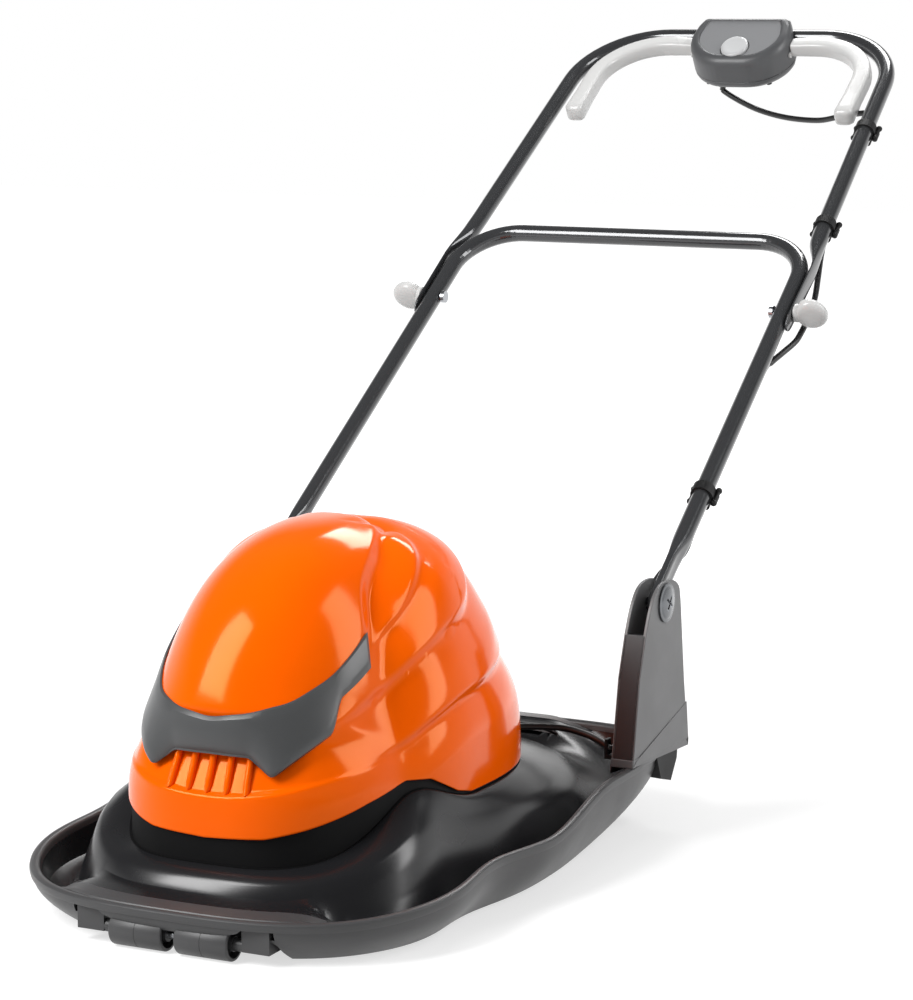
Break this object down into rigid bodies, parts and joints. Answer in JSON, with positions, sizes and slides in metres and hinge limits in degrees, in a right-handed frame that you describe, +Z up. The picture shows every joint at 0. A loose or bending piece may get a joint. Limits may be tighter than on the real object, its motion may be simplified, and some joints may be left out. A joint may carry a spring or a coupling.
{
  "type": "hover mower",
  "caption": "Electric hover mower with an orange motor cover on a flared hood, a belt-driven blade, front rollers, a folding tube handle and a two-lever switch box.",
  "frame": {"origin": "on the floor, under the centre of the bounding box", "axes": "+X to the side the motor lead runs on, +Y from the rollers to the hand bar, +Z up"},
  "size_m": [0.541, 1.4607, 0.8166],
  "materials": {
    "moulded_charcoal": "satin",
    "orange_gloss": "gloss",
    "visor_satin": "satin",
    "black_plastic": "gloss",
    "rubber_black": "matte",
    "plain_steel": "satin",
    "blade_steel": "ground",
    "cap_steel": "polished",
    "tube_graphite": "gloss",
    "pale_plastic": "satin",
    "copper": "satin",
    "carbon": "matte"
  },
  "bodies": {
    "hood_body": {"hood": "moulded_charcoal", "axle_blocks": "moulded_charcoal", "front_axle": "plain_steel", "left_bracket": "moulded_charcoal", "right_bracket": "moulded_charcoal", "bracket_screws": "plain_steel", "bracket_heels": "rubber_black", "cover": "orange_gloss", "visor": "visor_satin", "vent_fins": "orange_gloss", "cover_screws": "plain_steel", "cable_grommet": "rubber_black", "lead_hook": "rubber_black", "motor_plate": "black_plastic", "plate_screws": "plain_steel", "motor_can": "plain_steel", "motor_end_cap": "black_plastic", "brushes": "carbon", "motor_bearings": "plain_steel", "spindle_bearings": "plain_steel", "drive_belt": "rubber_black", "terminal_block": "black_plastic", "deck_lead": "rubber_black", "pivot_bolts": "cap_steel", "pivot_nuts": "plain_steel"},
    "motor_rotor": {"motor_shaft": "plain_steel", "armature": "copper", "cooling_fan": "black_plastic", "motor_pulley": "plain_steel"},
    "blade_rotor": {"spindle": "plain_steel", "driven_pulley": "black_plastic", "impeller": "black_plastic", "blade_spacers": "black_plastic", "blade": "blade_steel", "blade_washer": "plain_steel", "blade_bolt": "plain_steel"},
    "lower_handle": {"lower_tube": "tube_graphite", "clamp_bolts": "plain_steel", "lower_clip": "rubber_black", "lower_lead": "rubber_black"},
    "upper_handle": {"upper_tube": "tube_graphite", "upper_clips": "rubber_black", "upper_lead": "rubber_black", "lead_loop": "rubber_black", "switch_box_base": "moulded_charcoal", "switch_box_lid": "moulded_charcoal", "box_screws": "plain_steel", "micro_switch": "black_plastic", "mains_inlet": "rubber_black", "lead_gland": "rubber_black", "button_spring": "plain_steel"},
    "left_lever": {"left_lever": "pale_plastic"},
    "right_lever": {"right_lever": "pale_plastic"},
    "lock_button": {"lock_button": "pale_plastic"},
    "left_knob": {"left_knob": "pale_plastic"},
    "right_knob": {"right_knob": "pale_plastic"},
    "left_roller": {"left_roller": "moulded_charcoal"},
    "right_roller": {"right_roller": "moulded_charcoal"}
  },
  "joints": [
    {"name": "blade_spin", "type": "hinge", "parent": "hood_body", "child": "blade_rotor", "pos_m": [0, -0.35479, 0.02], "axis": [0, 0, 1], "continuous": true},
    {"name": "motor_spin", "type": "hinge", "parent": "hood_body", "child": "motor_rotor", "pos_m": [0, -0.50879, 0.1], "axis": [0, 0, 1], "continuous": true},
    {"name": "lower_fold", "type": "hinge", "parent": "hood_body", "child": "lower_handle", "pos_m": [0, -0.13978, 0.2386], "axis": [1, 0, 0], "range_deg": [0, 56]},
    {"name": "upper_fold", "type": "hinge", "parent": "lower_handle", "child": "upper_handle", "pos_m": [0, 0.24829, 0.49839], "axis": [1, 0, 0], "range_deg": [0, 120]},
    {"name": "left_knob_turn", "type": "hinge", "parent": "lower_handle", "child": "left_knob", "pos_m": [-0.25, 0.24829, 0.49839], "axis": [1, 0, 0], "continuous": true},
    {"name": "right_knob_turn", "type": "hinge", "parent": "lower_handle", "child": "right_knob", "pos_m": [0.25, 0.24829, 0.49839], "axis": [1, 0, 0], "continuous": true},
    {"name": "left_lever_squeeze", "type": "hinge", "parent": "upper_handle", "child": "left_lever", "pos_m": [-0.07, 0.67665, 0.77153], "axis": [-1, 0, 0], "range_deg": [0, 12], "stiffness_Nm_per_rad": 1.5, "springref_deg": -8.59},
    {"name": "right_lever_squeeze", "type": "hinge", "parent": "upper_handle", "child": "right_lever", "pos_m": [0.07, 0.67665, 0.77153], "axis": [-1, 0, 0], "range_deg": [0, 12], "stiffness_Nm_per_rad": 1.5, "springref_deg": -8.59},
    {"name": "button_press", "type": "slide", "parent": "upper_handle", "child": "lock_button", "axis": [0, 0.5476, -0.8368], "range_m": [0, 0.004], "stiffness_N_per_m": 500, "springref_m": -0.002, "deforming": ["button_spring"]},
    {"name": "left_roller_spin", "type": "hinge", "parent": "hood_body", "child": "left_roller", "pos_m": [-0.034, -0.71079, 0.016], "axis": [1, 0, 0], "continuous": true},
    {"name": "right_roller_spin", "type": "hinge", "parent": "hood_body", "child": "right_roller", "pos_m": [0.034, -0.71079, 0.016], "axis": [1, 0, 0], "continuous": true}
  ],
  "couplings": [
    {"joint": "motor_spin", "follows": "blade_spin", "ratio": 4.1818}
  ]
}
